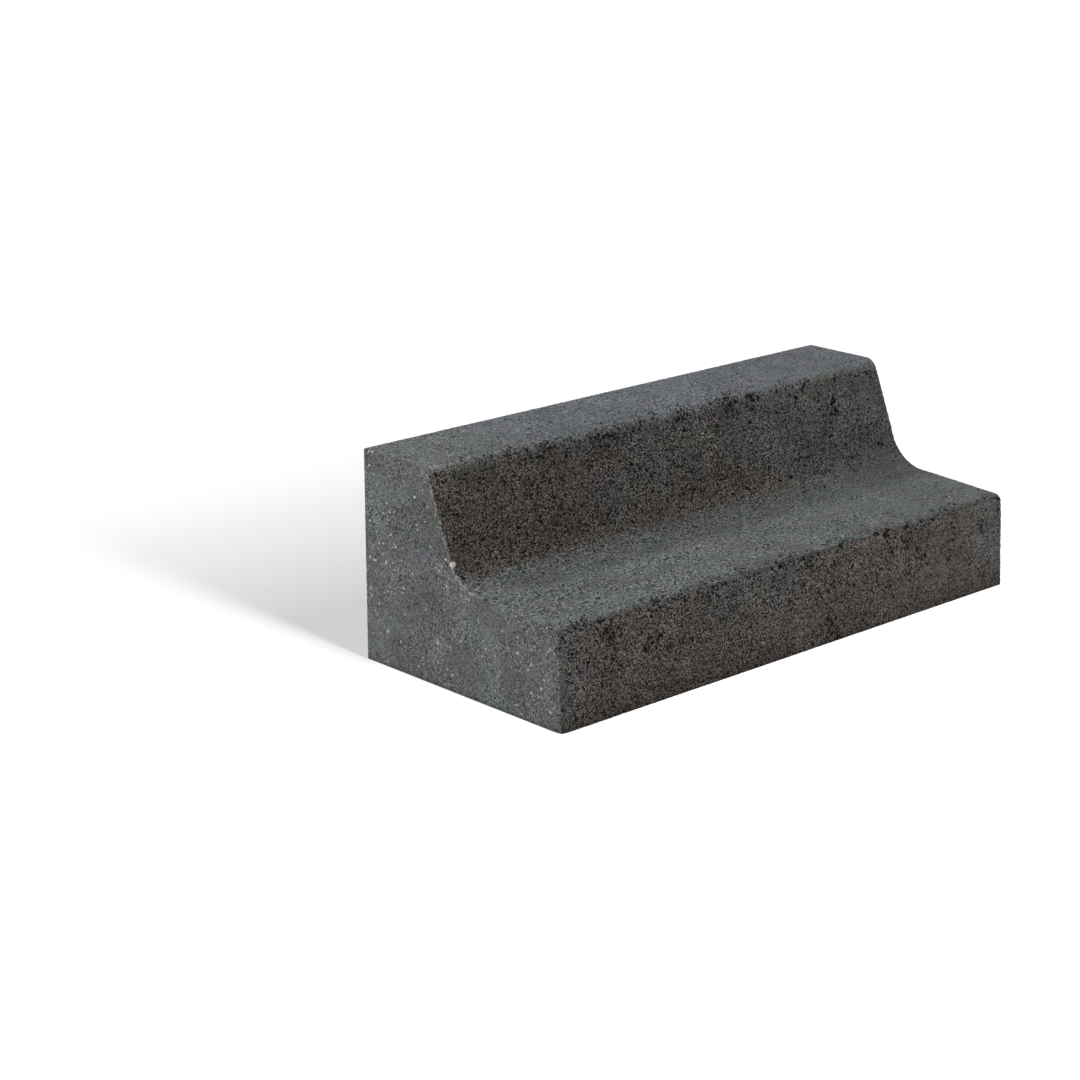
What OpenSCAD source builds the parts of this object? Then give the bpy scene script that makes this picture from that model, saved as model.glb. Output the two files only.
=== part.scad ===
// Concrete kerb stone for edging a lawn, bed or path.
// One cast piece: a low apron in front, an upstand with a leaning face behind it.
// Millimetres, +Z up, origin on the underside at the middle of the length and width.
// The length runs along X, the apron faces -Y and the back of the upstand faces +Y.

/* [Overall size] */
// Length from end to end
kerb_length = 300; // [150:10:600]
// Width of the underside, from front to back
kerb_width = 130; // [100:1:200]
// Height of the upstand, from underside to top
kerb_height = 100; // [80:1:160]

/* [Upstand] */
// Width of the top, from the back to where it would meet the leaning face in a sharp corner
top_width = 43; // [20:1:70]
// Lean of the upstand's face away from upright, in degrees
face_lean = 22; // [0:1:40]

/* [Apron] */
// Height of the apron at the front, up to a sharp corner
apron_height = 46; // [30:1:65]
// Fall of the apron towards the front, in degrees
apron_fall = 3; // [0:0.5:8]
// Lean of the front away from upright, in degrees
front_lean = 3; // [0:0.5:10]

/* [Rounded edges] */
// Radius of the edge between the top and the leaning face
top_radius = 7; // [2:0.5:12]
// Radius of the hollow where the leaning face runs into the apron
valley_radius = 20; // [5:1:30]
// Radius of the edge between the apron and the front
front_radius = 4; // [1:0.5:10]

/* [Hidden] */

// Sides of a full circle on the rounded edges
$fn = 128;
// Depth by which a round bites into the faces beside it, so that they cross cleanly
edge_bite = 0.002;
// Distance that the waste of a rounded edge reaches past the faces beside it
waste_reach = 1;

// Section corners as [y, z], and the directions of the faces between them, going from
// the top down to the front
back_y = kerb_width / 2;
top_run = [-1, 0];
face_run = [-sin(face_lean), -cos(face_lean)];
apron_run = [-cos(apron_fall), -sin(apron_fall)];
front_run = [-sin(front_lean), -cos(front_lean)];

top_corner = [back_y - top_width, kerb_height];
front_corner = [apron_height * tan(front_lean) - back_y, apron_height];
valley_corner = crossing(top_corner, face_run, front_corner, apron_run);

// Cross product of two plane vectors
function cross2(a, b) = a.x * b.y - a.y * b.x;

// Point where the line through p along u meets the line through q along v
function crossing(p, u, q, v) = p + u * cross2(q - p, v) / cross2(u, v);

// Direction turned a quarter turn to the left
function to_left(u) = [-u.y, u.x];

// Distance from a corner to either end of the round between two runs
function setback(run_in, run_out, radius) =
    (radius - edge_bite) * tan(acos(run_in * run_out) / 2);

function round_start(corner, run_in, run_out, radius) =
    corner - run_in * setback(run_in, run_out, radius);

function round_end(corner, run_in, run_out, radius) =
    corner + run_out * setback(run_in, run_out, radius);

// Centre of a round: inside the section where it turns left, outside where it turns right
function round_centre(corner, run_in, run_out, radius) =
    round_start(corner, run_in, run_out, radius)
    + to_left(run_in) * sign(cross2(run_in, run_out)) * (radius - edge_bite);

// What a rounded edge takes off its sharp corner
module edge_waste(corner, run_in, run_out, radius) {
    start = round_start(corner, run_in, run_out, radius);
    end = round_end(corner, run_in, run_out, radius);
    centre = round_centre(corner, run_in, run_out, radius);
    grow = 1 + waste_reach / radius;
    translate(centre)
        difference() {
            polygon([[0, 0], grow * (start - centre), grow * (corner - centre), grow * (end - centre)]);
            circle(radius);
        }
}

// Section across the kerb, with its two rounded edges and its hollow as true arcs.
// The corner of the hollow is filled up to the centre of its round, which is then cut out.
module kerb_section() {
    valley_centre = round_centre(valley_corner, face_run, apron_run, valley_radius);
    difference() {
        polygon([
            [back_y, 0],
            [back_y, kerb_height],
            top_corner,
            round_start(valley_corner, face_run, apron_run, valley_radius),
            valley_centre,
            round_end(valley_corner, face_run, apron_run, valley_radius),
            front_corner,
            [-back_y, 0]
        ]);
        translate(valley_centre) circle(valley_radius);
        edge_waste(top_corner, top_run, face_run, top_radius);
        edge_waste(front_corner, apron_run, front_run, front_radius);
    }
}

// The whole kerb: the section run straight along the length, with square ends
module kerb_stone() {
    color("dimgray")
        rotate([90, 0, 90])
            linear_extrude(kerb_length, center = true)
                kerb_section();
}

kerb_stone();
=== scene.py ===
"""Concrete kerb stone: one cast block of charcoal concrete with its grain, pits and worn edges."""

from math import cos, pi, radians, sin, tan
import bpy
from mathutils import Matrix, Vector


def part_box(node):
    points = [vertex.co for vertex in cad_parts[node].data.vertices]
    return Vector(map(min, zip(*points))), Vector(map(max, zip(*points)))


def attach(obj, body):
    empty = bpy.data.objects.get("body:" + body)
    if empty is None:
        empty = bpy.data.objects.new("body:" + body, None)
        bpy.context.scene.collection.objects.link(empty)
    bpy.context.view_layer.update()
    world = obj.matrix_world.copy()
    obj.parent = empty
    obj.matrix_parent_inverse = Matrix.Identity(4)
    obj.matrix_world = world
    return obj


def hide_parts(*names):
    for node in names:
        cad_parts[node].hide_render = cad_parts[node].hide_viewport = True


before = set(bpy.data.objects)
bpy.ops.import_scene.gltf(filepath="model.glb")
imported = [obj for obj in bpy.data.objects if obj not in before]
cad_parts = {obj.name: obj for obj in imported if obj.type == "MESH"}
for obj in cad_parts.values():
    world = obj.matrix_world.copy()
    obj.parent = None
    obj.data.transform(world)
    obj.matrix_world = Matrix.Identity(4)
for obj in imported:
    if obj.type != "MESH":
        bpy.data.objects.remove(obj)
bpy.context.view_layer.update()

from types import SimpleNamespace

import bmesh
import bpy
from mathutils import Matrix, Vector

MM = 0.001

# Sizes of the stone in metres, with the overall box taken from the frame
stone_low, stone_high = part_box("kerb_stone")
length = stone_high[0] - stone_low[0]
back_y = stone_high[1]
front_y = stone_low[1]
height = stone_high[2]
width = back_y - front_y
top_width = 43 * MM
face_lean = radians(22)
apron_height = 46 * MM
apron_fall = radians(3)
front_lean = radians(3)
top_radius = 7 * MM
valley_radius = 20 * MM
front_radius = 4 * MM
end_blunting = 0.7 * MM
end_margin = 0.05 * MM

# Section corners before rounding
top_y = back_y - top_width
apron_y = front_y + apron_height * tan(front_lean)
valley_z = (apron_height + (top_y - height * tan(face_lean) - apron_y) * tan(apron_fall)) / (
    1 - tan(face_lean) * tan(apron_fall)
)
valley_y = top_y - (height - valley_z) * tan(face_lean)

# Middle of the hollow's round, from the directions in which the two faces beside it look
face_out = Vector((-cos(face_lean), sin(face_lean)))
apron_out = Vector((-sin(apron_fall), cos(apron_fall)))
to_middle = valley_radius * (face_out + apron_out) / (1 + face_out.dot(apron_out))
hollow_middle = Vector((valley_y, valley_z)) + to_middle

# Steps around each round of the section
top_steps = 8
valley_steps = 16
front_steps = 6

# Mesh of the stone
grid_size = 0.6 * MM
most_triangles = 190_000
sharp_angle = radians(50)
foot_layer = 1.5 * grid_size
foot_slack = grid_size / 10
near = 0.01 * MM

# From here to the studio, places and sizes on the stone's surface are in millimetres
end_x = length / 2 / MM
apron_z = apron_height / MM

# Depths of the relief, all inwards: where two are given, on closed and on open faces
skin_depth = 0.03
wave_depth = 0.14
grain_depths = (0.12, 0.36)
pit_depths = (0.2, 0.8)
crumble_depth = 0.7
corner_depth = 0.9
corner_reach = 4.5

# Scattered dots: how far apart, how wide, how soft and ragged in outline, and a shift of their own
small_pits = {"spacing": 1.6, "radius": 0.5, "softness": 0.3, "ragged": 0.8, "shift": 7}
large_pits = {"spacing": 2.0, "radius": 0.95, "softness": 0.22, "ragged": 1.2, "shift": 19}
fine_pores = {"spacing": 1.1, "radius": 0.43, "softness": 0.15, "ragged": 0.7, "shift": 53}
small_specks = {"spacing": 1.8, "radius": 0.4, "softness": 0.3, "ragged": 1.0, "shift": 31}
large_specks = {"spacing": 2.9, "radius": 0.56, "softness": 0.3, "ragged": 1.3, "shift": 37}
narrowest_dot = 0.6
widest_dot = 1.25
shallowest_dot = 0.3

# Share of a place's or a line's reach within which it counts in full
full_share = 0.3
edge_light_full_share = 0.25

# Lines along the stone where its edges broke out: y and z, and how far each reaches
worn_lines = ((19.8, 95.0, 7.5), (-60.8, 45.0, 10.0))

# Places with crowded pits, and how far each reaches
crowded_places = (
    ((110, 14.5, 81), 9),
    ((-83, 20, 94), 6),
    ((-76, 20, 95), 6),
    ((-42, 20, 94), 8),
    ((-20, 22, 98), 5),
    ((-8, 22, 98), 5),
    ((8, 20, 95), 9),
    ((40, 20, 95), 9),
    ((55, 20, 94), 7),
    ((82, 22, 97), 8),
    ((-119, -63, 38), 10),
    ((-95, -63, 28), 6),
    ((-92, -61, 44), 7),
    ((-74, -62, 41), 6),
    ((-34, -59, 46), 6),
    ((-12, -62, 43), 9),
    ((10, -62, 41), 8),
    ((26, -63, 40), 5),
    ((23, -64, 11), 8),
    ((62, -61, 45), 7),
    ((78, -63, 41), 9),
    ((90, -62, 44), 6),
    ((110, -63, 33), 5),
    ((134, -63, 33), 5),
)

# Lines along the rounded edges, with painted light where the lamps leave their curves dark: y and z, how
# far each reaches, and how much paler
edge_light_lines = ((21.8, 98.0, 4.5, 0.46), (-62.4, 43.6, 4.0, 0.20))

# Places where the surface is paler, how far each reaches, and how much paler
paler_places = (
    ((-144, 18.5, 94), 13, 0.35),
    ((-138, -63, 33), 24, 0.08),
    ((-150, -60, 22), 28, 0.06),
)

# Places on the upright faces that are grey and not brown, and how far each reaches
grey_places = (
    ((-147, -62, 37), 20),
    ((-147, -63, 24), 20),
    ((-151, -64, 11), 12),
    ((-44, -62, 38), 22),
    ((-14, -62, 38), 24),
    ((148, -63, 31), 32),
    ((-46, 10, 69), 20),
    ((-20, 14, 80), 22),
    ((8, 13, 78), 18),
)


# Selecting in edit mode and applying modifiers


def deselect_everything():
    bpy.ops.object.select_all(action="DESELECT")


def select_where(piece, kind, wanted):
    """Selects the vertices, edges or faces of a piece in edit mode whose corners all pass a test."""
    bpy.ops.mesh.select_mode(type=kind)
    bpy.ops.mesh.select_all(action="DESELECT")
    mesh = bmesh.from_edit_mesh(piece.data)
    parts = {"VERT": mesh.verts, "EDGE": mesh.edges, "FACE": mesh.faces}[kind]
    for part in parts:
        corners = [part.co] if kind == "VERT" else [v.co for v in part.verts]
        part.select_set(all(wanted(corner) for corner in corners))
    bmesh.update_edit_mesh(piece.data)


def at(y, z):
    """Test for points on the line along the stone at this y and z."""
    return lambda p: abs(p.y - y) < near and abs(p.z - z) < near


def apply_modifier(piece, name, kind, **settings):
    modifier = piece.modifiers.new(name, kind)
    for setting, value in settings.items():
        setattr(modifier, setting, value)
    bpy.context.view_layer.objects.active = piece
    bpy.ops.object.modifier_apply(modifier=name)


# Building node trees


def add_node(tree, kind, sockets=None, **settings):
    """Adds a node, sets its options, and fills or links its input sockets."""
    node = tree.nodes.new(kind)
    for setting, value in settings.items():
        setattr(node, setting, value)
    for key, value in (sockets or {}).items():
        if isinstance(value, bpy.types.NodeSocket):
            tree.links.new(value, node.inputs[key])
        else:
            node.inputs[key].default_value = value
    return node


def calc(tree, operation, *values):
    return add_node(tree, "ShaderNodeMath", dict(enumerate(values)), operation=operation).outputs[0]


def total(tree, *values):
    out = values[0]
    for value in values[1:]:
        out = calc(tree, "ADD", out, value)
    return out


def product(tree, *values):
    out = values[0]
    for value in values[1:]:
        out = calc(tree, "MULTIPLY", out, value)
    return out


def vector_calc(tree, operation, *values, result="Vector", **named):
    sockets = {**dict(enumerate(values)), **named}
    return add_node(tree, "ShaderNodeVectorMath", sockets, operation=operation).outputs[result]


def split(tree, vector):
    return add_node(tree, "ShaderNodeSeparateXYZ", {0: vector}).outputs


def joined(tree, x, y, z):
    return add_node(tree, "ShaderNodeCombineXYZ", {0: x, 1: y, 2: z}).outputs[0]


def alike(value):
    return (value, value, value)


def in_millimetres(tree, position):
    return vector_calc(tree, "SCALE", position, Scale=1 / MM)


def between(tree, share, first, second):
    """The first number at share 0, the second at share 1."""
    return add_node(tree, "ShaderNodeMix", {0: share, 2: first, 3: second}, data_type="FLOAT").outputs[0]


def rise(tree, value, start, end, low=0.0, high=1.0):
    """Goes smoothly from low to high as value goes from start to end."""
    sockets = {"Value": value, "From Min": start, "From Max": end, "To Min": low, "To Max": high}
    return add_node(tree, "ShaderNodeMapRange", sockets, interpolation_type="SMOOTHSTEP").outputs["Result"]


def noise(tree, place, size, detail=2.0, roughness=0.5, shift=0.0):
    """Cloudy noise about 0.5 with lumps of this size."""
    moved = vector_calc(tree, "ADD", place, alike(shift))
    sockets = {"Vector": moved, "Scale": 1 / size, "Detail": detail, "Roughness": roughness}
    return add_node(tree, "ShaderNodeTexNoise", sockets).outputs[0]


def dots(tree, place, share, spacing, radius, softness, ragged, shift):
    """Scattered dots of uneven size: 1 in the middle of a dot, 0 outside, on a share of the cells."""
    moved = vector_calc(tree, "ADD", place, alike(shift))
    wobble = add_node(tree, "ShaderNodeTexNoise", {"Vector": moved, "Scale": 1 / radius, "Detail": 1.0})
    centred = vector_calc(tree, "SUBTRACT", wobble.outputs["Color"], alike(0.5))
    moved = vector_calc(tree, "MULTIPLY_ADD", centred, alike(ragged), moved)
    cells = add_node(tree, "ShaderNodeTexVoronoi", {"Vector": moved, "Scale": 1 / spacing})
    chance, spread, level = split(tree, cells.outputs["Color"])
    edge = rise(tree, spread, 0, 1, narrowest_dot * radius / spacing, widest_dot * radius / spacing)
    across = calc(tree, "DIVIDE", cells.outputs["Distance"], edge)
    dot = rise(tree, across, 1 + softness, 1 - softness)
    depth = rise(tree, level, 0.0, 0.9, shallowest_dot, 1.0)
    return product(tree, dot, depth, calc(tree, "LESS_THAN", chance, share))


def apart(tree, first, second):
    """Distance from a line along one axis, from the two offsets across it."""
    return calc(tree, "SQRT", total(tree, product(tree, first, first), product(tree, second, second)))


def from_line(tree, y, z, line_y, line_z):
    """Distance from a line along the stone."""
    return apart(tree, calc(tree, "SUBTRACT", y, line_y), calc(tree, "SUBTRACT", z, line_z))


def close_to(tree, place, places):
    """1 in the middle of each of these places, fading to 0 at its reach."""
    out = 0.0
    for middle, reach in places:
        away = vector_calc(tree, "DISTANCE", place, middle, result="Value")
        out = calc(tree, "MAXIMUM", out, rise(tree, away, reach, reach * full_share))
    return out


# The stone


def kerb_block():
    """The plain block: a low slab, its back half drawn up into the upstand, its edges rounded."""
    deselect_everything()
    bpy.ops.mesh.primitive_cube_add(
        size=1,
        location=(0, (back_y + front_y) / 2, valley_z / 2),
        scale=(length - 2 * end_margin, width, valley_z),
    )
    stone = bpy.context.object
    stone.name = stone.data.name = "charcoal_kerb"
    bpy.ops.object.transform_apply(location=True, rotation=True, scale=True)
    bpy.ops.object.mode_set(mode="EDIT")

    # Upstand
    bpy.ops.mesh.select_all(action="SELECT")
    bpy.ops.mesh.bisect(plane_co=(0, valley_y, 0), plane_no=(0, 1, 0))
    select_where(stone, "FACE", lambda p: p.z > valley_z - near and p.y > valley_y - near)
    bpy.ops.mesh.extrude_region_move(TRANSFORM_OT_translate={"value": (0, 0, height - valley_z)})
    select_where(stone, "VERT", at(valley_y, height))
    bpy.ops.transform.translate(value=(0, top_y - valley_y, 0))

    # Fall of the apron and lean of the front
    select_where(stone, "VERT", at(front_y, valley_z))
    bpy.ops.transform.translate(value=(0, apron_y - front_y, apron_height - valley_z))

    # Rounded edges and hollow, each as far back from its corner as its radius asks
    rounds = (
        ((top_y, height), top_radius, pi / 2 - face_lean, top_steps),
        ((valley_y, valley_z), valley_radius, pi / 2 - face_lean - apron_fall, valley_steps),
        ((apron_y, apron_height), front_radius, pi / 2 - apron_fall - front_lean, front_steps),
    )
    for corner, radius, turn, steps in rounds:
        select_where(stone, "EDGE", at(*corner))
        bpy.ops.mesh.bevel(offset_type="OFFSET", offset=radius * tan(turn / 2), segments=steps, profile=0.5)

    # Edges around the two ends, blunted by the mould, but not along the underside
    for end in (-length / 2 + end_margin, length / 2 - end_margin):
        select_where(stone, "EDGE", lambda p: abs(p.x - end) < near)
        foot = [e for e in bmesh.from_edit_mesh(stone.data).edges if all(v.co.z < near for v in e.verts)]
        for edge in foot:
            edge.select_set(False)
        bpy.ops.mesh.bevel(offset_type="OFFSET", offset=end_blunting, segments=2, profile=0.5)
    bpy.ops.object.mode_set(mode="OBJECT")
    return stone


def rounded_edges(tree, place):
    """1 along the two rounded edges, fading to 0 a few millimetres away."""
    _, y, z = split(tree, place)
    out = 0.0
    for line_y, line_z, reach in worn_lines:
        away = from_line(tree, y, z, line_y, line_z)
        out = calc(tree, "MAXIMUM", out, rise(tree, away, reach, reach * full_share))
    return out


def behind_front(tree, y, z):
    """How far inside the leaning front a place lies."""
    front_line = calc(tree, "MULTIPLY_ADD", z, tan(front_lean), front_y / MM)
    return calc(tree, "SUBTRACT", y, front_line)


def blunt_corner(tree, place):
    """1 on the near upright edge, between the front and the end, fading to 0 a few millimetres away."""
    x, y, z = split(tree, place)
    away = apart(tree, behind_front(tree, y, z), calc(tree, "ADD", x, end_x))
    return product(tree, rise(tree, away, corner_reach, 0.0), rise(tree, z, apron_z + 3, apron_z - 3))


def open_pits(tree, place, coarse, edges):
    """Pits left where the mix didn't close, 1 at their deepest: many small ones and some large ones."""
    patches = rise(tree, noise(tree, place, 18, shift=40), 0.40, 0.64)
    few_or_many = rise(tree, coarse, 0, 1, 0.42, 0.75)
    small_share = product(tree, few_or_many, rise(tree, patches, 0, 1, 0.4, 1.3))
    small = dots(tree, place, small_share, **small_pits)
    large_share = calc(tree, "MAXIMUM", product(tree, patches, 0.10), product(tree, edges, 0.32))
    large_share = product(tree, large_share, rise(tree, coarse, 0, 0.6, 0.25, 1))
    large_share = calc(tree, "MAXIMUM", large_share, close_to(tree, place, crowded_places))
    large = dots(tree, place, large_share, **large_pits)
    return calc(tree, "MAXIMUM", product(tree, small, 0.65), large)


def surface_marks(tree, place, normal):
    """How coarse, broken at an edge, upright and lying the surface is at each place, from 0 to 1."""
    _, side, up = split(tree, normal)
    _, _, z = split(tree, place)
    rounded = rounded_edges(tree, place)
    breaks = rise(tree, noise(tree, place, 13, roughness=0.6, shift=83), 0.40, 0.62, 0.25, 1.0)
    edges = product(tree, rounded, breaks)

    # The front and the leaning face, whose border wanders along the rounded edges, and the back
    uneven = noise(tree, place, 6, detail=3.0, roughness=0.65, shift=29)
    wander = rise(tree, uneven, 0.28, 0.72, -0.42, 0.42)
    turned = calc(tree, "MULTIPLY_ADD", rounded, wander, side)
    border = rise(tree, z, 60, 90, -0.4, -0.7)
    full = rise(tree, z, 60, 90, -0.85, -0.93)
    to_front = rise(tree, turned, border, full)
    to_back = rise(tree, side, 0.5, 0.9, high=0.6)
    upright = calc(tree, "MAXIMUM", to_front, to_back)
    return {
        "coarse": calc(tree, "MAXIMUM", upright, product(tree, edges, 0.7)),
        "edges": edges,
        "upright": upright,
        "lying": rise(tree, up, 0.5, 0.9),
    }


def relief_depth(tree, place, coarse, edges):
    """How far the surface lies inside the plain block."""
    wave = product(tree, noise(tree, place, 26, detail=1.0), wave_depth)
    hollows = rise(tree, noise(tree, place, 1.7, detail=1.0, shift=5), 0.55, 0.25)
    grain = product(tree, hollows, rise(tree, coarse, 0, 1, *grain_depths))
    pits = product(tree, open_pits(tree, place, coarse, edges), rise(tree, coarse, 0, 1, *pit_depths))
    crumbs = rise(tree, noise(tree, place, 4.2, roughness=0.6, shift=71), 0.50, 0.70)
    crumble = product(tree, crumbs, edges, crumble_depth)
    corner = product(tree, blunt_corner(tree, place), corner_depth)
    return total(tree, skin_depth, wave, grain, pits, crumble, corner)


def inwards(tree, place, normal, depth):
    """The way inwards by this depth, level along the foot, so that the underside stays flat."""
    above_foot = calc(tree, "GREATER_THAN", split(tree, place)[2], foot_layer / MM)
    outwards = vector_calc(tree, "MULTIPLY", normal, joined(tree, 1.0, 1.0, above_foot))
    size = vector_calc(tree, "LENGTH", outwards, result="Value")
    step = calc(tree, "DIVIDE", product(tree, depth, -MM), calc(tree, "MAXIMUM", size, 0.5))
    return vector_calc(tree, "SCALE", outwards, Scale=step)


def relief_nodes():
    """Grain, pits and crumbled edges as a node group that moves the surface inwards and keeps its marks."""
    tree = bpy.data.node_groups.new("cast_relief", "GeometryNodeTree")
    tree.interface.new_socket("Geometry", in_out="INPUT", socket_type="NodeSocketGeometry")
    tree.interface.new_socket("Geometry", in_out="OUTPUT", socket_type="NodeSocketGeometry")
    shape = add_node(tree, "NodeGroupInput").outputs[0]
    place = in_millimetres(tree, add_node(tree, "GeometryNodeInputPosition").outputs[0])
    normal = add_node(tree, "GeometryNodeInputNormal").outputs[0]
    marks = surface_marks(tree, place, normal)
    depth = relief_depth(tree, place, marks["coarse"], marks["edges"])
    for name, value in marks.items():
        shape = add_node(
            tree,
            "GeometryNodeStoreNamedAttribute",
            {"Geometry": shape, "Name": name, "Value": value},
            data_type="FLOAT",
            domain="POINT",
        ).outputs[0]
    offset = inwards(tree, place, normal, depth)
    moved = add_node(tree, "GeometryNodeSetPosition", {"Geometry": shape, "Offset": offset})
    add_node(tree, "NodeGroupOutput", {0: moved.outputs[0]})
    return tree


def kerb_stone():
    """The block with its relief, thinned out and pressed flat underneath."""
    stone = kerb_block()
    apply_modifier(stone, "even_grid", "REMESH", mode="VOXEL", voxel_size=grid_size)
    apply_modifier(stone, "relief", "NODES", node_group=relief_nodes())
    triangles = 2 * len(stone.data.polygons)
    apply_modifier(stone, "thin_out", "DECIMATE", ratio=min(1.0, most_triangles / triangles))
    bpy.ops.object.mode_set(mode="EDIT")
    select_where(stone, "VERT", lambda p: p.z < foot_slack)
    bpy.ops.transform.resize(value=(1, 1, 0), center_override=(0, 0, 0))
    bpy.ops.object.mode_set(mode="OBJECT")
    bpy.ops.object.shade_smooth_by_angle(angle=sharp_angle)
    return stone


# Concrete

end_grey = (0.131, 0.131, 0.131, 1)
apron_grey = (0.151, 0.161, 0.158, 1)
# The blue of top_grey and the brown of open_brown are partly the concrete's tint, partly painted cool light
# and painted warm shade
top_grey = (0.147, 0.156, 0.168, 1)
open_grey = (0.147, 0.147, 0.144, 1)
open_brown = (0.151, 0.131, 0.119, 1)
# Black of the pits and pores: painted shade in the holes, with some dark dust
pit_black = (0.012, 0.011, 0.010, 1)
speck_white = (0.60, 0.585, 0.56, 1)
burr_grey = (0.40, 0.385, 0.35, 1)
stone_white = (0.90, 0.87, 0.81, 1)

# Grains of sand, the finer pepper among them, the gaps between them, and the darkest tone they reach
sand_grain = 0.75
pepper_grain = 0.46
gap_grain = 0.95
darkest_sand = 0.08

# The one white stone in the near edge: its middle, how flat it lies, and between which radii it fades
white_stone = (-148.6, 5.35, 59.15)
white_stone_flattening = (1, 1, 1.4)
white_stone_inner = 1.4
white_stone_outer = 1.9

# Clouds of faint colour: their size, and how far they change it
hue_cloud = 9
hue_change = 0.2

# Dull surface, and the small bumps that the mesh leaves out
concrete_roughness = 0.95
concrete_shine = 0.1
bump_strength = 0.9
bump_height = 0.4 * MM


def grey(value):
    return (value, value, value, 1)


def empty_material(name):
    material = bpy.data.materials.new(name)
    material.use_nodes = True
    material.node_tree.nodes.clear()
    return material


def mix_colour(tree, share, first, second, blend="MIX"):
    node = add_node(tree, "ShaderNodeMix", data_type="RGBA", blend_type=blend)
    for socket, value in zip((node.inputs[0], node.inputs[6], node.inputs[7]), (share, first, second)):
        if isinstance(value, bpy.types.NodeSocket):
            tree.links.new(value, socket)
        else:
            socket.default_value = value
    return node.outputs[2]


def near_strip(tree, place, x, z):
    """1 on the smooth strip of the front beside its near upright edge, 0 elsewhere."""
    wobble = rise(tree, noise(tree, place, 3, detail=1.0, shift=35), 0.3, 0.7, -0.5, 0.5)
    from_end = total(tree, x, end_x, wobble)
    return product(tree, rise(tree, from_end, 4.5, 3.3), rise(tree, z, apron_z, apron_z - 4))


def surface_spot(tree):
    """What the colour of a spot depends on: its place, and the marks that the relief left there."""
    place = in_millimetres(tree, add_node(tree, "ShaderNodeTexCoord").outputs["Object"])
    x, y, z = split(tree, place)
    coarse, edges, upright, lying = (
        add_node(tree, "ShaderNodeAttribute", attribute_name=name).outputs["Fac"]
        for name in ("coarse", "edges", "upright", "lying")
    )
    strip = near_strip(tree, place, x, z)
    return SimpleNamespace(
        place=place,
        x=x,
        y=y,
        z=z,
        coarse=product(tree, coarse, rise(tree, strip, 0, 1, 1.0, 0.35)),
        edges=edges,
        upright=product(tree, upright, rise(tree, strip, 0, 1, 1.0, 0.25)),
        lying=lying,
    )


def cement_colour(tree, spot):
    """Bluish on top, greenish on the apron, grey at the ends, and brown or grey on the upright faces. The
    blue and the brown are partly the concrete's tint and partly painted cool light and painted warm shade.
    """
    clouds = noise(tree, spot.place, 24, shift=11)
    inland = rise(tree, spot.x, -end_x, -end_x + 30, -0.06, 0.06)
    greenish = rise(tree, total(tree, clouds, inland), 0.44, 0.58)
    greenish = calc(tree, "MAXIMUM", greenish, product(tree, spot.lying, 0.7))
    cement = mix_colour(tree, greenish, end_grey, apron_grey)
    bluish_from = rise(tree, total(tree, spot.x, product(tree, clouds, 60)), -75, -60)
    bluish = product(tree, rise(tree, spot.z, 96, 99.4), bluish_from)
    cement = mix_colour(tree, bluish, cement, top_grey)

    # Brown, partly painted warm shade, except high up towards the far end, at the worn edges and in the
    # grey places
    brown_line = total(tree, spot.z, product(tree, spot.x, 0.3), product(tree, clouds, 90))
    brown = product(tree, rise(tree, brown_line, 138, 112), rise(tree, spot.edges, 1.0, 0.4))
    brown = product(tree, brown, calc(tree, "SUBTRACT", 1.0, close_to(tree, spot.place, grey_places)))
    return mix_colour(tree, spot.upright, cement, mix_colour(tree, brown, open_grey, open_brown))


def sand_noise(tree, spot):
    """The fine pepper and the gaps between the grains, about 0.5, drawn out on the lying faces."""
    drawn = joined(tree, 1.0, rise(tree, spot.lying, 0, 1, 1.0, 0.7), 1.0)
    sand = vector_calc(tree, "MULTIPLY", spot.place, drawn)
    pepper = noise(tree, sand, pepper_grain, detail=0.0, shift=3)
    gaps = noise(tree, sand, gap_grain, detail=1.0, roughness=0.6, shift=23)
    return pepper, gaps


def sand_strength(tree, spot):
    """How much the sand shows: more in some patches and on open faces, less towards the far end."""
    patchy = rise(tree, noise(tree, spot.place, 14, roughness=0.6, shift=91), 0.35, 0.65)
    strength = total(tree, rise(tree, patchy, 0, 1, 0.58, 1.1), product(tree, spot.coarse, 0.3))
    at_far_end = rise(tree, spot.upright, 0, 1, 0.8, 0.62)
    along = rise(tree, spot.x, 20, 140, 1.1, at_far_end)
    return product(tree, strength, along, rise(tree, spot.z, 44, 50, 0.92, 1.0))


def sand_tone(tree, spot, pepper, gaps):
    """Lighter and darker sand, about 1: even on closed faces, separate grains on open ones."""
    on_apron = product(tree, spot.lying, rise(tree, spot.z, 90, 60))
    from_far_end = calc(tree, "SUBTRACT", end_x, spot.x)
    contrast = rise(tree, product(tree, on_apron, from_far_end), 0, 180, 0.55, 0.82)
    closed_grain = total(
        tree,
        product(tree, rise(tree, pepper, 0.2, 0.8, -1, 1), contrast),
        product(tree, rise(tree, gaps, 0.25, 0.75, -1, 1), contrast),
    )
    grains = add_node(tree, "ShaderNodeTexVoronoi", {"Vector": spot.place, "Scale": 1 / sand_grain})
    tone = split(tree, grains.outputs["Color"])[0]
    open_grain = total(
        tree,
        rise(tree, pepper, 0.2, 0.8, -0.5, 0.55),
        rise(tree, gaps, 0.3, 0.7, -0.35, 0.4),
        rise(tree, tone, 0, 1, -0.25, 0.45),
        rise(tree, grains.outputs["Distance"], 0.42, 0.68, 0.15, -0.9),
    )
    grain = between(tree, spot.coarse, closed_grain, open_grain)
    shown = calc(tree, "MULTIPLY_ADD", grain, sand_strength(tree, spot), 1.0)
    return calc(tree, "MAXIMUM", shown, darkest_sand)


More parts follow.
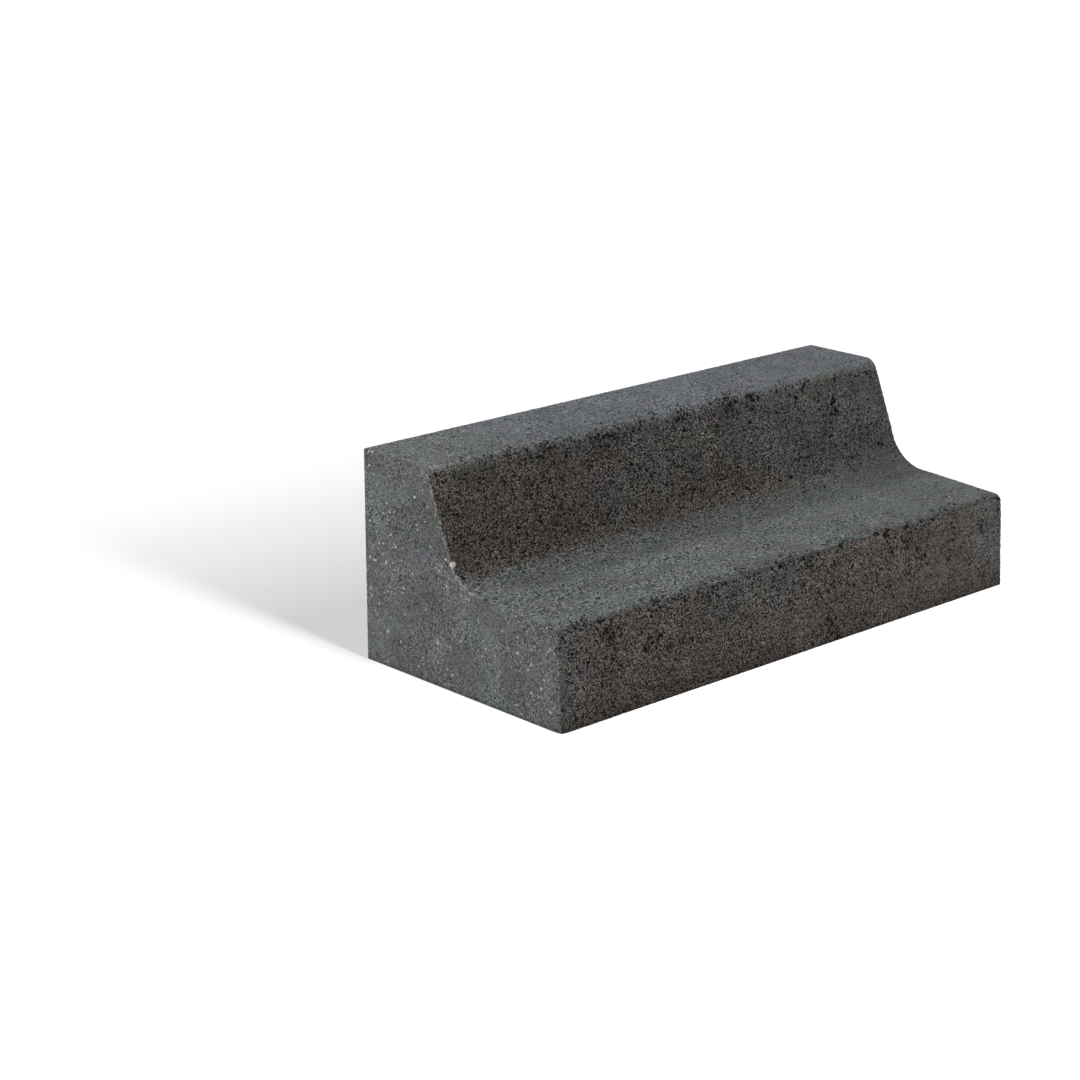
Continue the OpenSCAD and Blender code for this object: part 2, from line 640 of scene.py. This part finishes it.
def mould_streaks(tree, spot):
    """Faint streaks along the stone, about 1, stronger on the upright faces towards the far end."""
    stretched = vector_calc(tree, "MULTIPLY", spot.place, (0.12, 1, 1))
    streaks = rise(tree, noise(tree, stretched, 2.6, roughness=0.6, shift=61), 0.3, 0.7, -0.06, 0.06)
    stronger = rise(tree, product(tree, spot.upright, spot.x), 0, 60, 1, 2.5)
    return calc(tree, "MULTIPLY_ADD", streaks, stronger, 1.0)


def paler_and_edge_light(tree, spot):
    """1, and more in the paler places, and along the rounded edges where painted light lifts them."""
    lifted = 1.0
    for middle, reach, amount in paler_places:
        lifted = total(tree, lifted, product(tree, close_to(tree, spot.place, ((middle, reach),)), amount))
    for line_y, line_z, reach, amount in edge_light_lines:
        away = from_line(tree, spot.y, spot.z, line_y, line_z)
        lifted = total(tree, lifted, rise(tree, away, reach, reach * edge_light_full_share, 0, amount))
    return lifted


def broad_tones(tree, spot):
    """Broad clouds, worn edges, and upright faces that grow paler towards the far end and the foot."""
    clouds = noise(tree, spot.place, 30, detail=3.0, roughness=0.65, shift=47)
    broad = rise(tree, clouds, 0.3, 0.7, 0.90, 1.12)
    worn = rise(tree, spot.edges, 0, 1, 1.0, 0.94)
    paler = total(tree, rise(tree, spot.x, -110, 110, 0.02, 0.22), rise(tree, spot.z, 60, 48, 0, 0.1))
    return product(tree, broad, worn, calc(tree, "MULTIPLY_ADD", spot.upright, paler, 1.0))


def hue_drift(tree, place):
    """A faint colour about white that drifts from place to place."""
    cloud = add_node(tree, "ShaderNodeTexNoise", {"Vector": place, "Scale": 1 / hue_cloud, "Detail": 1.0})
    least = alike(1 - hue_change / 2)
    return vector_calc(tree, "MULTIPLY_ADD", cloud.outputs["Color"], alike(hue_change), least)


def hole_shade_and_dust(tree, spot, pits):
    """How much painted shade, with some dark dust, shows: in the pits, and in small pores that swarm on the
    open faces.
    """
    shade = product(tree, rise(tree, pits, 0.12, 0.4), rise(tree, spot.coarse, 0, 1, 0.75, 0.96))
    swarms = rise(tree, noise(tree, spot.place, 9, roughness=0.6, shift=67), 0.4, 0.62, 0.22, 0.8)
    share = calc(tree, "MAXIMUM", product(tree, swarms, spot.coarse), 0.06)
    pores = dots(tree, spot.place, share, **fine_pores)
    return calc(tree, "MAXIMUM", shade, product(tree, pores, 0.98))


def pale_specks(tree, spot):
    """Specks of crushed stone, in loose swarms, mostly at the ends."""
    at_end = rise(tree, calc(tree, "ABSOLUTE", spot.x), end_x - 2, end_x - 0.5, 0.6, 1.0)
    swarms = rise(tree, noise(tree, spot.place, 11, roughness=0.6, shift=57), 0.46, 0.66, 0.05, 0.95)
    small = dots(tree, spot.place, product(tree, swarms, 0.45), **small_specks)
    large = dots(tree, spot.place, product(tree, swarms, 0.55), **large_specks)
    specks = calc(tree, "MAXIMUM", product(tree, small, 0.8), large)
    return product(tree, specks, at_end, rise(tree, spot.coarse, 0.6, 0.0, 0.3, 0.9))


def by_near_edge(tree, x, y, z):
    """1 along the near edge of the leaning face, the hollow and, fainter, the front, 0 a little inside."""
    face_line = calc(tree, "MULTIPLY_ADD", z, tan(face_lean), (top_y - height * tan(face_lean)) / MM)
    behind_face = calc(tree, "SUBTRACT", y, face_line)
    from_middle = from_line(tree, y, z, hollow_middle.x / MM, hollow_middle.y / MM)
    under_hollow = calc(tree, "SUBTRACT", from_middle, valley_radius / MM)
    hollow_start = (hollow_middle.y - valley_radius * sin(face_lean)) / MM
    on_face = rise(tree, z, hollow_start - 0.5, hollow_start + 0.5)
    inside = between(tree, on_face, under_hollow, behind_face)
    upper = product(tree, rise(tree, inside, 1.5, 0.5), rise(tree, z, 48, 49), rise(tree, z, 98, 94))
    in_front = behind_front(tree, y, z)
    lower = product(tree, rise(tree, in_front, 2.2, 1.2), rise(tree, in_front, 0.3, 0.9), 0.35)
    return product(tree, total(tree, upper, lower), rise(tree, x, -end_x + 1.4, -end_x + 0.7))


def ragged_burr(tree, spot):
    """The pale burr along the near edges, broken into crumbs and stretches."""
    crumbs = rise(tree, noise(tree, spot.place, 2.2, roughness=0.6, shift=13), 0.4, 0.58, 0.1, 1.0)
    stretches = rise(tree, noise(tree, spot.place, 8, roughness=0.6, shift=17), 0.40, 0.52, 0.45, 1.0)
    return product(tree, by_near_edge(tree, spot.x, spot.y, spot.z), crumbs, stretches)


def in_white_stone(tree, spot):
    from_stone = vector_calc(tree, "SUBTRACT", spot.place, white_stone)
    flattened = vector_calc(tree, "MULTIPLY", from_stone, white_stone_flattening)
    away = vector_calc(tree, "LENGTH", flattened, result="Value")
    return rise(tree, away, white_stone_outer, white_stone_inner)


def charcoal_concrete():
    material = empty_material("charcoal_concrete")
    tree = material.node_tree
    spot = surface_spot(tree)
    pepper, gaps = sand_noise(tree, spot)
    pits = open_pits(tree, spot.place, spot.coarse, spot.edges)

    # Cement with its sand and tones, painted light along the rounded edges among them
    tones = product(
        tree,
        sand_tone(tree, spot, pepper, gaps),
        mould_streaks(tree, spot),
        paler_and_edge_light(tree, spot),
        broad_tones(tree, spot),
    )
    cement = mix_colour(tree, 1.0, cement_colour(tree, spot), tones, "MULTIPLY")
    cement = mix_colour(tree, 1.0, cement, hue_drift(tree, spot.place), "MULTIPLY")

    # Painted shade and dust in the holes, then specks, burr and the white stone over it
    cement = mix_colour(tree, hole_shade_and_dust(tree, spot, pits), cement, pit_black)
    cement = mix_colour(tree, pale_specks(tree, spot), cement, speck_white)
    cement = mix_colour(tree, ragged_burr(tree, spot), cement, burr_grey)
    cement = mix_colour(tree, in_white_stone(tree, spot), cement, stone_white)

    rough = total(tree, product(tree, pepper, 0.5), product(tree, gaps, 0.8), product(tree, pits, -1.2))
    sockets = {"Height": rough, "Strength": bump_strength, "Distance": bump_height}
    bump = add_node(tree, "ShaderNodeBump", sockets)
    sockets = {
        "Base Color": cement,
        "Roughness": concrete_roughness,
        "Specular IOR Level": concrete_shine,
        "Normal": bump.outputs[0],
    }
    shader = add_node(tree, "ShaderNodeBsdfPrincipled", sockets)
    add_node(tree, "ShaderNodeOutputMaterial", {"Surface": shader.outputs[0]})
    return material


# Studio, in metres

# Floor and backdrop, which show white, and the dull grey that they throw on the stone
floor_size = 16.0
floor_glow = 0.597
floor_sheet = 0.10
floor_thrown = 0.56
world_thrown = 0.42
world_tint = (1.0, 0.98, 0.95, 1)

# Floor at the stone's foot, how far and how much: shade before it, shade at its ends, light by the near end
foot_shade = 0.020
foot_dark = 0.1
end_shade = 0.002
end_light = 0.016
end_glow = 0.16

# Two key lamps, high on the left and behind: towards each, and its level
key_lamps = (
    (Vector((-0.75, 0.43, 1.0)).normalized(), 0.30),
    (Vector((-0.75, 0.80, 1.0)).normalized(), 0.32),
)
key_distance = 2.5
key_size = 0.25
key_tint = (0.97, 1.0, 1.05)

# Row of lamps in front that only shade the floor: degrees above it, and share of its white
shadow_lamps = ((21, 0.135), (25, 0.043), (30, 0.065), (36, 0.057), (43, 0.052), (52, 0.053))
shadow_softness = radians(11)
shadow_distance = 2.0


def seen_directly(tree):
    """1 for what the camera, a mirror or a glass shows, 0 for light thrown on the stone."""
    path = add_node(tree, "ShaderNodeLightPath").outputs
    shown = calc(tree, "MAXIMUM", path["Is Camera Ray"], path["Is Glossy Ray"])
    return calc(tree, "MAXIMUM", shown, path["Is Transmission Ray"])


def thrown_or_shown(tree, thrown, shown):
    """One shader for the light thrown on the stone, another for what is seen directly."""
    sockets = {0: seen_directly(tree), 1: thrown.outputs[0], 2: shown.outputs[0]}
    return add_node(tree, "ShaderNodeMixShader", sockets).outputs[0]


def floor_shown(tree, x, y):
    """White paper that takes the shadow, a little brighter beside the near end."""
    beside_end = rise(tree, x, -length / 2 - end_light, -length / 2)
    before_back = rise(tree, y, back_y, back_y - end_light)
    level = calc(tree, "MULTIPLY_ADD", product(tree, beside_end, before_back), end_glow, floor_glow)
    glow = add_node(tree, "ShaderNodeEmission", {"Color": grey(1), "Strength": level})
    sheet = add_node(tree, "ShaderNodeBsdfDiffuse", {"Color": grey(floor_sheet)})
    return add_node(tree, "ShaderNodeAddShader", {0: glow.outputs[0], 1: sheet.outputs[0]})


def floor_light(tree, x, y):
    """The light that the floor throws on the stone, less of it close to the foot."""
    before = calc(tree, "SUBTRACT", front_y, y)
    beside = calc(tree, "SUBTRACT", calc(tree, "ABSOLUTE", x), length / 2)
    away = calc(tree, "MAXIMUM", before, product(tree, beside, foot_shade / end_shade))
    level = product(tree, rise(tree, away, 0, foot_shade, foot_dark, 1.0), floor_thrown)
    return add_node(tree, "ShaderNodeEmission", {"Color": grey(1), "Strength": level})


def pale_floor():
    deselect_everything()
    bpy.ops.mesh.primitive_plane_add(size=floor_size, location=(0, 0, 0))
    floor = bpy.context.object
    floor.name = floor.data.name = "pale_floor"
    material = empty_material("pale_floor")
    tree = material.node_tree
    x, y, _ = split(tree, add_node(tree, "ShaderNodeTexCoord").outputs["Object"])
    surface = thrown_or_shown(tree, floor_light(tree, x, y), floor_shown(tree, x, y))
    add_node(tree, "ShaderNodeOutputMaterial", {"Surface": surface})
    floor.data.materials.append(material)
    return floor


def studio_world():
    world = bpy.data.worlds.new("studio")
    bpy.context.scene.world = world
    world.use_nodes = True
    tree = world.node_tree
    tree.nodes.clear()
    shown = add_node(tree, "ShaderNodeBackground", {"Color": grey(1), "Strength": 1.0})
    thrown = add_node(tree, "ShaderNodeBackground", {"Color": world_tint, "Strength": world_thrown})
    add_node(tree, "ShaderNodeOutputWorld", {"Surface": thrown_or_shown(tree, thrown, shown)})


def lamp(name, kind, direction, distance, only_on, **settings):
    """A lamp that shines from a direction towards the origin, on one object alone."""
    data = bpy.data.lights.new(name, kind)
    for setting, value in settings.items():
        setattr(data, setting, value)
    holder = bpy.data.objects.new(name, data)
    bpy.context.scene.collection.objects.link(holder)
    turn = direction.to_track_quat("Z", "Y").to_matrix().to_4x4()
    holder.matrix_world = Matrix.Translation(direction * distance) @ turn
    lit = bpy.data.collections.new(name + "_lit")
    lit.objects.link(only_on)
    holder.light_linking.receiver_collection = lit


def studio_lamps(stone, floor):
    for number, (direction, level) in enumerate(key_lamps, 1):
        lamp(
            f"key_lamp_{number}",
            "AREA",
            direction,
            key_distance,
            stone,
            shape="SQUARE",
            size=key_size,
            energy=level * (pi * key_distance) ** 2,
            color=key_tint,
        )
    for number, (degrees, share) in enumerate(shadow_lamps, 1):
        up = radians(degrees)
        lamp(
            f"shadow_lamp_{number}",
            "SUN",
            Vector((0, -cos(up), sin(up))),
            shadow_distance,
            floor,
            angle=shadow_softness,
            energy=share * pi / (floor_sheet * sin(up)),
        )


# Camera, fitted to the outline of the stone in the photograph
camera_azimuth = radians(-42.754)
camera_elevation = radians(17.372)
camera_distance = 1.26455
camera_lens = 88.31
camera_sensor = 36
aim_right = -0.074977
aim_up = 0.038155


def camera():
    back = Vector(
        (
            sin(camera_azimuth) * cos(camera_elevation),
            -cos(camera_azimuth) * cos(camera_elevation),
            sin(camera_elevation),
        )
    )
    right = Vector((cos(camera_azimuth), sin(camera_azimuth), 0))
    up = back.cross(right)
    data = bpy.data.cameras.new("camera")
    data.sensor_width = camera_sensor
    data.lens = camera_lens
    holder = bpy.data.objects.new("camera", data)
    bpy.context.scene.collection.objects.link(holder)
    turn = Matrix((right, up, back)).transposed().to_4x4()
    place = right * aim_right + up * aim_up + back * camera_distance
    holder.matrix_world = Matrix.Translation(place) @ turn
    bpy.context.scene.camera = holder


bpy.context.scene.view_settings.view_transform = "Standard"
camera()
stone = kerb_stone()
stone.data.materials.clear()
stone.data.materials.append(charcoal_concrete())
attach(stone, "root")
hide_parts("kerb_stone")
floor = pale_floor()
studio_world()
studio_lamps(stone, floor)
